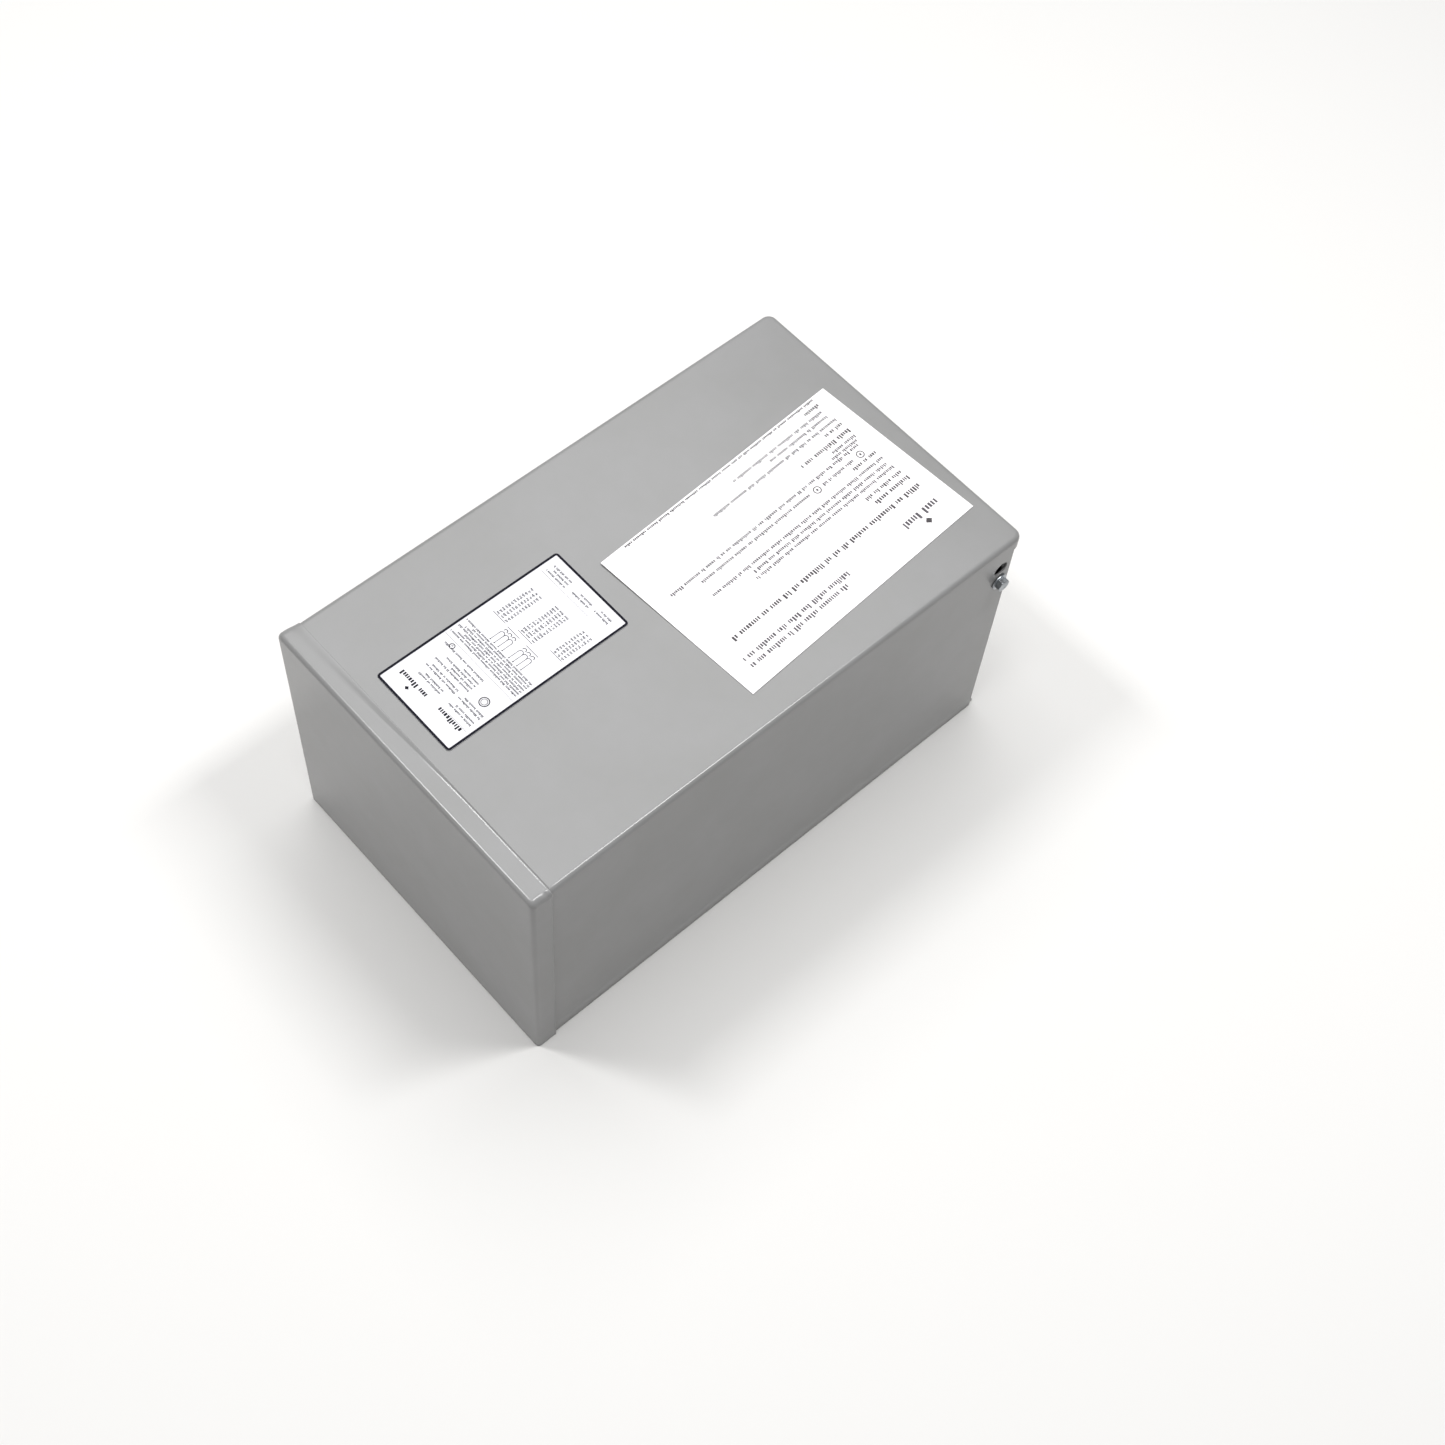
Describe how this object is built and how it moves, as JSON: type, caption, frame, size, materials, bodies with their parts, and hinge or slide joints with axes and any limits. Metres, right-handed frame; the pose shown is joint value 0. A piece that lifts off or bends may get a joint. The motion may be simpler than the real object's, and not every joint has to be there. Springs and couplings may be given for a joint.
{
  "type": "dry-type transformer",
  "caption": "Non-ventilated three-phase dry-type transformer in a grey steel wall case with lift-off cover, joggled top cap, side cover bolts and conduit knockouts.",
  "frame": {"origin": "centre of the back mounting face, which is also the middle of the footprint when the case lies on its back", "axes": "+Z out of the front cover, +Y towards the top end when hung on a wall, +X to the right seen from the front"},
  "size_m": [0.2656, 0.43, 0.2179],
  "materials": {
    "grey_paint": "semi-gloss powder coat",
    "zinc_steel": "bright zinc plate",
    "clamp_steel": "plain rolled steel",
    "core_steel": "varnished lamination edges",
    "former_board": "pressed board",
    "enamelled_copper": "enamelled round wire in layers",
    "winding_tape": "varnished insulation wrap",
    "rubber": "moulded",
    "terminal_plastic": "moulded phenolic",
    "brass": "turned",
    "black_lead": "extruded insulation",
    "white_lead": "extruded insulation",
    "nameplate_film": "printed adhesive film",
    "leaflet_paper": "folded printed sheet"
  },
  "bodies": {
    "chassis": {"rear_pan": "grey_paint", "bottom_panel": "grey_paint", "wiring_barrier": "zinc_steel", "primary_grommet": "rubber", "secondary_grommet": "rubber", "core_limbs": "core_steel", "core_yoke": "core_steel", "front_clamp_top": "clamp_steel", "front_clamp_bottom": "clamp_steel", "rear_channel_top": "clamp_steel", "rear_channel_bottom": "clamp_steel", "isolation_strip_top": "rubber", "isolation_strip_bottom": "rubber", "clamp_bolt_top_left": "zinc_steel", "clamp_bolt_top_right": "zinc_steel", "clamp_bolt_bottom_left": "zinc_steel", "clamp_bolt_bottom_right": "zinc_steel", "foot_bolt_top_left": "zinc_steel", "foot_bolt_top_right": "zinc_steel", "foot_bolt_bottom_left": "zinc_steel", "foot_bolt_bottom_right": "zinc_steel", "winding_former_a": "former_board", "winding_former_b": "former_board", "winding_former_c": "former_board", "secondary_winding_a": "enamelled_copper", "secondary_winding_b": "enamelled_copper", "secondary_winding_c": "enamelled_copper", "primary_winding_a": "winding_tape", "primary_winding_b": "winding_tape", "primary_winding_c": "winding_tape", "terminal_block": "terminal_plastic", "ground_lug": "zinc_steel", "primary_lead_1": "black_lead", "primary_lead_2": "black_lead", "primary_lead_3": "black_lead", "secondary_lead_1": "white_lead", "secondary_lead_2": "white_lead", "secondary_lead_3": "white_lead", "secondary_lead_4": "white_lead"},
    "cover": {"cover_wrap": "grey_paint", "cover_end_cap": "grey_paint", "nameplate": "nameplate_film", "nut_strap_left": "zinc_steel", "nut_strap_right": "zinc_steel"},
    "cover_bolt_left": {"cover_bolt_left": "zinc_steel"},
    "cover_bolt_right": {"cover_bolt_right": "zinc_steel"},
    "leaflet": {"user_leaflet": "leaflet_paper"},
    "knockout_slug_1": {"knockout_slug_1": "grey_paint"},
    "knockout_slug_2": {"knockout_slug_2": "grey_paint"},
    "knockout_slug_3": {"knockout_slug_3": "grey_paint"},
    "knockout_slug_4": {"knockout_slug_4": "grey_paint"},
    "terminal_screw_1": {"terminal_screw_1": "brass"},
    "terminal_screw_2": {"terminal_screw_2": "brass"},
    "terminal_screw_3": {"terminal_screw_3": "brass"},
    "terminal_screw_4": {"terminal_screw_4": "brass"},
    "terminal_screw_5": {"terminal_screw_5": "brass"},
    "terminal_screw_6": {"terminal_screw_6": "brass"},
    "terminal_screw_7": {"terminal_screw_7": "brass"},
    "ground_screw": {"ground_screw": "brass"}
  },
  "joints": [
    {"name": "cover_lift", "type": "slide", "parent": "chassis", "child": "cover", "axis": [0, 0, 1], "range_m": [0, 0.24]},
    {"name": "left_bolt_out", "type": "slide", "parent": "cover", "child": "cover_bolt_left", "axis": [-1, 0, 0], "range_m": [0, 0.016]},
    {"name": "right_bolt_out", "type": "slide", "parent": "cover", "child": "cover_bolt_right", "axis": [1, 0, 0], "range_m": [0, 0.016]},
    {"name": "leaflet_lift", "type": "slide", "parent": "cover", "child": "leaflet", "axis": [0, 0, 1], "range_m": [0, 0.1]},
    {"name": "knockout_1_push", "type": "slide", "parent": "chassis", "child": "knockout_slug_1", "axis": [0, 1, 0], "range_m": [0, 0.02]},
    {"name": "knockout_2_push", "type": "slide", "parent": "chassis", "child": "knockout_slug_2", "axis": [0, 1, 0], "range_m": [0, 0.02]},
    {"name": "knockout_3_push", "type": "slide", "parent": "chassis", "child": "knockout_slug_3", "axis": [0, 1, 0], "range_m": [0, 0.02]},
    {"name": "knockout_4_push", "type": "slide", "parent": "chassis", "child": "knockout_slug_4", "axis": [0, 1, 0], "range_m": [0, 0.02]},
    {"name": "terminal_1_back_out", "type": "slide", "parent": "chassis", "child": "terminal_screw_1", "axis": [0, 0, 1], "range_m": [0, 0.006]},
    {"name": "terminal_2_back_out", "type": "slide", "parent": "chassis", "child": "terminal_screw_2", "axis": [0, 0, 1], "range_m": [0, 0.006]},
    {"name": "terminal_3_back_out", "type": "slide", "parent": "chassis", "child": "terminal_screw_3", "axis": [0, 0, 1], "range_m": [0, 0.006]},
    {"name": "terminal_4_back_out", "type": "slide", "parent": "chassis", "child": "terminal_screw_4", "axis": [0, 0, 1], "range_m": [0, 0.006]},
    {"name": "terminal_5_back_out", "type": "slide", "parent": "chassis", "child": "terminal_screw_5", "axis": [0, 0, 1], "range_m": [0, 0.006]},
    {"name": "terminal_6_back_out", "type": "slide", "parent": "chassis", "child": "terminal_screw_6", "axis": [0, 0, 1], "range_m": [0, 0.006]},
    {"name": "terminal_7_back_out", "type": "slide", "parent": "chassis", "child": "terminal_screw_7", "axis": [0, 0, 1], "range_m": [0, 0.006]},
    {"name": "ground_back_out", "type": "slide", "parent": "chassis", "child": "ground_screw", "axis": [0, 0, 1], "range_m": [0, 0.006]}
  ]
}
